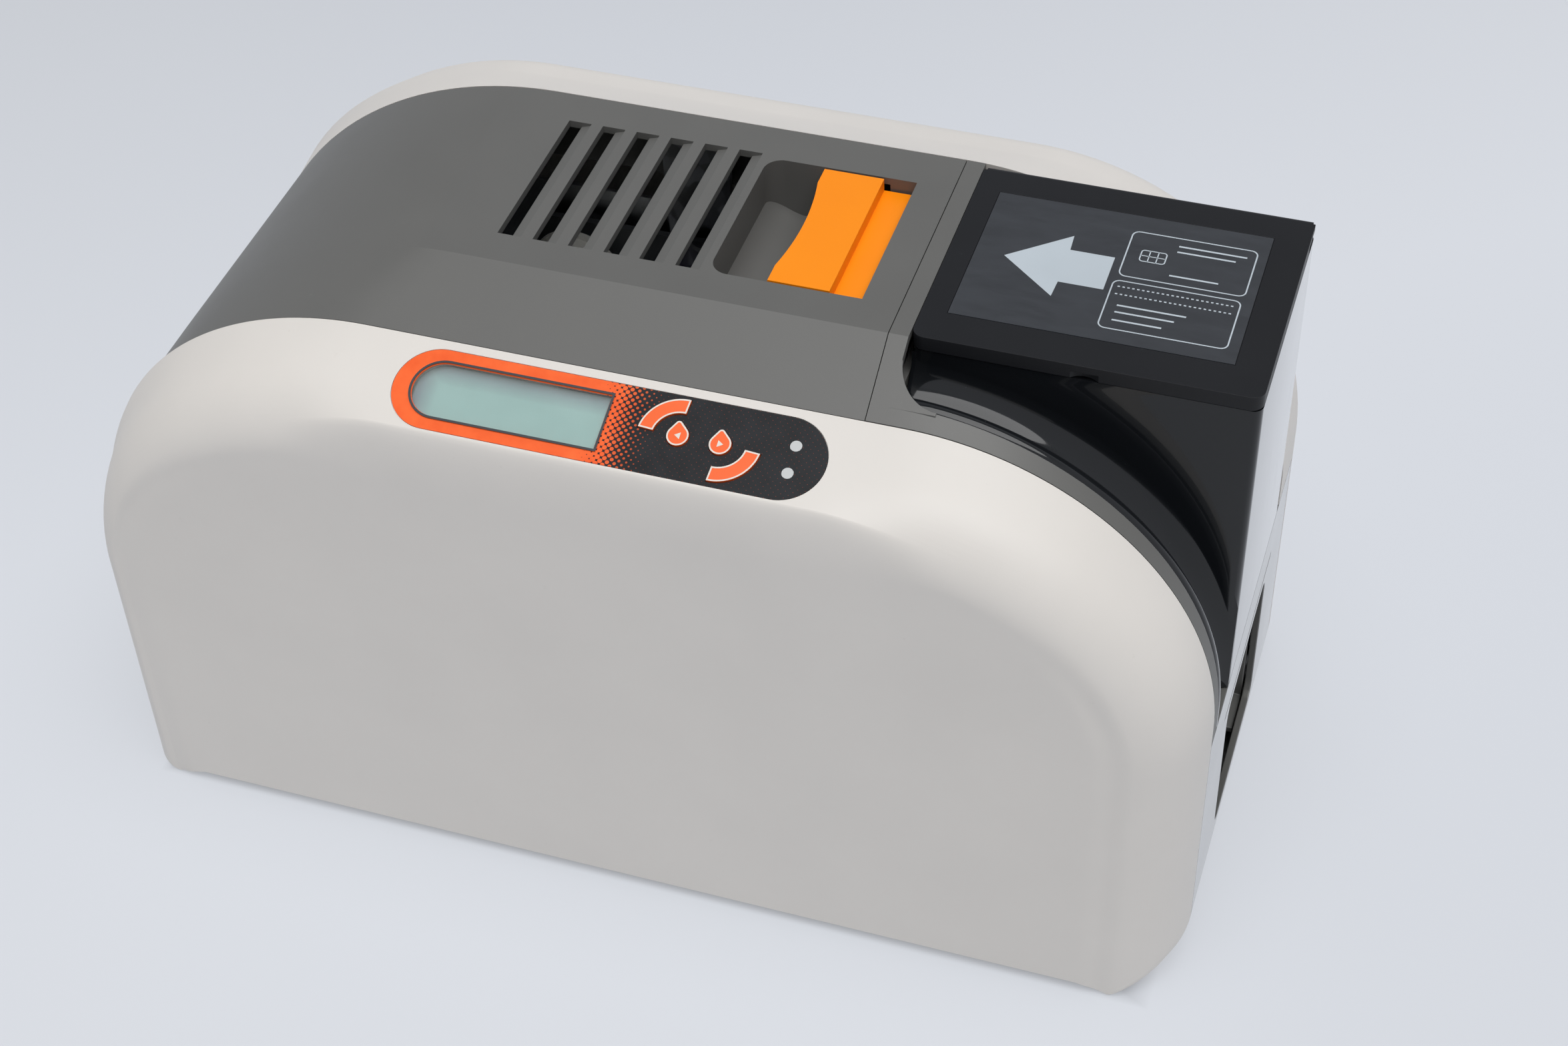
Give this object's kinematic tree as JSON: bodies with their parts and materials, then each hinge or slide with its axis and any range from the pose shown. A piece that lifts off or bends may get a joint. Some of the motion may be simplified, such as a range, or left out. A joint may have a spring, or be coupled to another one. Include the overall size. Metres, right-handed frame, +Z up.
{
  "type": "id card printer",
  "caption": "Desktop card printer with arched side covers, hinged louvred top, orange release latch, key panel and a lift-out card cassette with a hinged lid.",
  "frame": {"origin": "centre of the footprint at table level", "axes": "+X along the case towards the cassette and card mouth, +Y away from the key panel, +Z up"},
  "size_m": [0.382, 0.2037, 0.226],
  "materials": {
    "cover_beige": "fine spark texture, satin",
    "case_grey": "fine spark texture, satin",
    "base_dark": "plain moulded",
    "foot_rubber": "soft, slightly dusty",
    "screw_steel": "zinc plated",
    "plate_steel": "galvanised sheet",
    "pin_steel": "ground",
    "spring_steel": "drawn wire",
    "latch_orange": "smooth moulded",
    "cassette_black": "polished",
    "lid_charcoal": "satin with light scuffs",
    "label_film": "printed film",
    "panel_film": "printed film with orange halftone",
    "display_teal": "reflective liquid crystal panel",
    "lens_clear": "clear window",
    "indicator_white": "diffusing",
    "board_green": "solder mask",
    "key_orange": "smooth moulded",
    "bush_bronze": "sintered",
    "roller_rubber": "ground rubber on a steel shaft",
    "gear_acetal": "plain moulded",
    "roller_tacky": "tacky silicone",
    "belt_rubber": "toothless drive belt",
    "motor_black": "satin black",
    "head_aluminium": "extruded, plain",
    "frame_dark": "plain moulded",
    "spool_white": "plain moulded core with wound film",
    "ribbon_violet": "thin dye film",
    "fan_black": "plain moulded",
    "socket_black": "plain moulded"
  },
  "bodies": {
    "chassis": {"near_side_cover": "cover_beige", "far_side_cover": "cover_beige", "front_frame": "case_grey", "front_bezel": "case_grey", "rear_panel": "case_grey", "base_pan": "base_dark", "rubber_feet": "foot_rubber", "case_screws": "screw_steel", "hinge_bracket": "plate_steel", "hinge_pins": "pin_steel", "striker": "plate_steel", "panel_overlay": "panel_film", "display_module": "display_teal", "display_lens": "lens_clear", "indicator_lenses": "indicator_white", "keypad_board": "board_green", "near_side_plate": "plate_steel", "far_side_plate": "plate_steel", "cross_braces": "plate_steel", "card_track": "base_dark", "shaft_bushes": "bush_bronze", "pinch_rollers": "gear_acetal", "cleaning_roller": "roller_tacky", "timing_belt": "belt_rubber", "drive_motor": "motor_black", "motor_bracket": "plate_steel", "ribbon_frame": "frame_dark", "ribbon_film": "ribbon_violet", "exit_chute": "base_dark", "output_bin": "case_grey", "fan_frame": "fan_black", "main_board": "board_green", "power_supply": "plate_steel", "rear_sockets": "socket_black"},
    "top_cover": {"top_cover": "case_grey", "latch_pin": "pin_steel", "head_carrier": "plate_steel", "print_head": "head_aluminium", "latch_spring": "spring_steel"},
    "latch": {"release_latch": "latch_orange"},
    "cassette": {"cassette_body": "cassette_black", "lid_hinge_pins": "pin_steel"},
    "cassette_lid": {"cassette_lid": "lid_charcoal", "lid_label": "label_film"},
    "card_weight": {"card_weight": "base_dark"},
    "key_back": {"key_back": "key_orange"},
    "key_left": {"key_left": "key_orange"},
    "key_right": {"key_right": "key_orange"},
    "key_enter": {"key_enter": "key_orange"},
    "power_rocker": {"power_rocker": "socket_black"},
    "fan_rotor": {"fan_rotor": "fan_black"},
    "platen": {"platen_roller": "roller_rubber", "platen_gear": "gear_acetal"},
    "feed_roller": {"feed_roller": "roller_rubber"},
    "rear_roller": {"rear_roller": "roller_rubber"},
    "exit_roller": {"exit_roller": "roller_rubber"},
    "motor_pinion": {"motor_pinion": "bush_bronze"},
    "pickup_roller": {"pickup_roller": "roller_rubber"},
    "supply_spool": {"supply_spool": "spool_white"},
    "takeup_spool": {"takeup_spool": "spool_white"}
  },
  "joints": [
    {"name": "top_cover_hinge", "type": "hinge", "parent": "chassis", "child": "top_cover", "pos_m": [-0.178, 0, 0.108], "axis": [0, -1, 0], "range_deg": [0, 75]},
    {"name": "latch_pivot", "type": "hinge", "parent": "top_cover", "child": "latch", "pos_m": [0.0625, -0.0015, 0.2176], "axis": [0, 1, 0], "range_deg": [0, 22], "stiffness_Nm_per_rad": 0.15, "springref_deg": -20.05},
    {"name": "cassette_lift", "type": "slide", "parent": "chassis", "child": "cassette", "axis": [0, 0, 1], "range_m": [0, 0.13]},
    {"name": "cassette_lid_hinge", "type": "hinge", "parent": "cassette", "child": "cassette_lid", "pos_m": [0.138, 0.0414, 0.2235], "axis": [-1, 0, 0], "range_deg": [0, 100]},
    {"name": "card_weight_lift", "type": "slide", "parent": "cassette", "child": "card_weight", "axis": [0, 0, 1], "range_m": [0, 0.07]},
    {"name": "key_back_press", "type": "slide", "parent": "chassis", "child": "key_back", "axis": [0, 0.342, -0.9397], "range_m": [0, 0.0008], "stiffness_N_per_m": 300, "springref_m": -0.001},
    {"name": "key_left_press", "type": "slide", "parent": "chassis", "child": "key_left", "axis": [0, 0.342, -0.9397], "range_m": [0, 0.0008], "stiffness_N_per_m": 300, "springref_m": -0.001},
    {"name": "key_right_press", "type": "slide", "parent": "chassis", "child": "key_right", "axis": [0, 0.342, -0.9397], "range_m": [0, 0.0008], "stiffness_N_per_m": 300, "springref_m": -0.001},
    {"name": "key_enter_press", "type": "slide", "parent": "chassis", "child": "key_enter", "axis": [0, 0.342, -0.9397], "range_m": [0, 0.0008], "stiffness_N_per_m": 300, "springref_m": -0.001},
    {"name": "power_rocker_pivot", "type": "hinge", "parent": "chassis", "child": "power_rocker", "pos_m": [-0.184, 0.0305, 0.068], "axis": [0, 1, 0], "range_deg": [0, 12]},
    {"name": "fan_spin", "type": "hinge", "parent": "chassis", "child": "fan_rotor", "pos_m": [-0.179, -0.022, 0.062], "axis": [1, 0, 0], "continuous": true},
    {"name": "platen_spin", "type": "hinge", "parent": "chassis", "child": "platen", "pos_m": [-0.01, 0, 0.1], "axis": [0, 1, 0], "continuous": true},
    {"name": "feed_spin", "type": "hinge", "parent": "chassis", "child": "feed_roller", "pos_m": [0.06, 0, 0.101], "axis": [0, 1, 0], "continuous": true},
    {"name": "rear_spin", "type": "hinge", "parent": "chassis", "child": "rear_roller", "pos_m": [-0.075, 0, 0.101], "axis": [0, 1, 0], "continuous": true},
    {"name": "exit_spin", "type": "hinge", "parent": "chassis", "child": "exit_roller", "pos_m": [0.112, 0, 0.08378], "axis": [0, 1, 0], "continuous": true},
    {"name": "motor_spin", "type": "hinge", "parent": "chassis", "child": "motor_pinion", "pos_m": [0.00126, 0, 0.0805], "axis": [0, 1, 0], "continuous": true},
    {"name": "pickup_spin", "type": "hinge", "parent": "chassis", "child": "pickup_roller", "pos_m": [0.168, 0, 0.099], "axis": [0, 1, 0], "continuous": true},
    {"name": "supply_spin", "type": "hinge", "parent": "chassis", "child": "supply_spool", "pos_m": [-0.062, 0, 0.15], "axis": [0, 1, 0], "continuous": true},
    {"name": "takeup_spin", "type": "hinge", "parent": "chassis", "child": "takeup_spool", "pos_m": [0.044, 0, 0.15], "axis": [0, 1, 0], "continuous": true}
  ],
  "couplings": [
    {"joint": "feed_spin", "follows": "platen_spin", "ratio": 1.1429},
    {"joint": "rear_spin", "follows": "platen_spin", "ratio": 1.1429},
    {"joint": "exit_spin", "follows": "platen_spin", "ratio": 1.3333},
    {"joint": "motor_spin", "follows": "platen_spin", "ratio": -3}
  ]
}
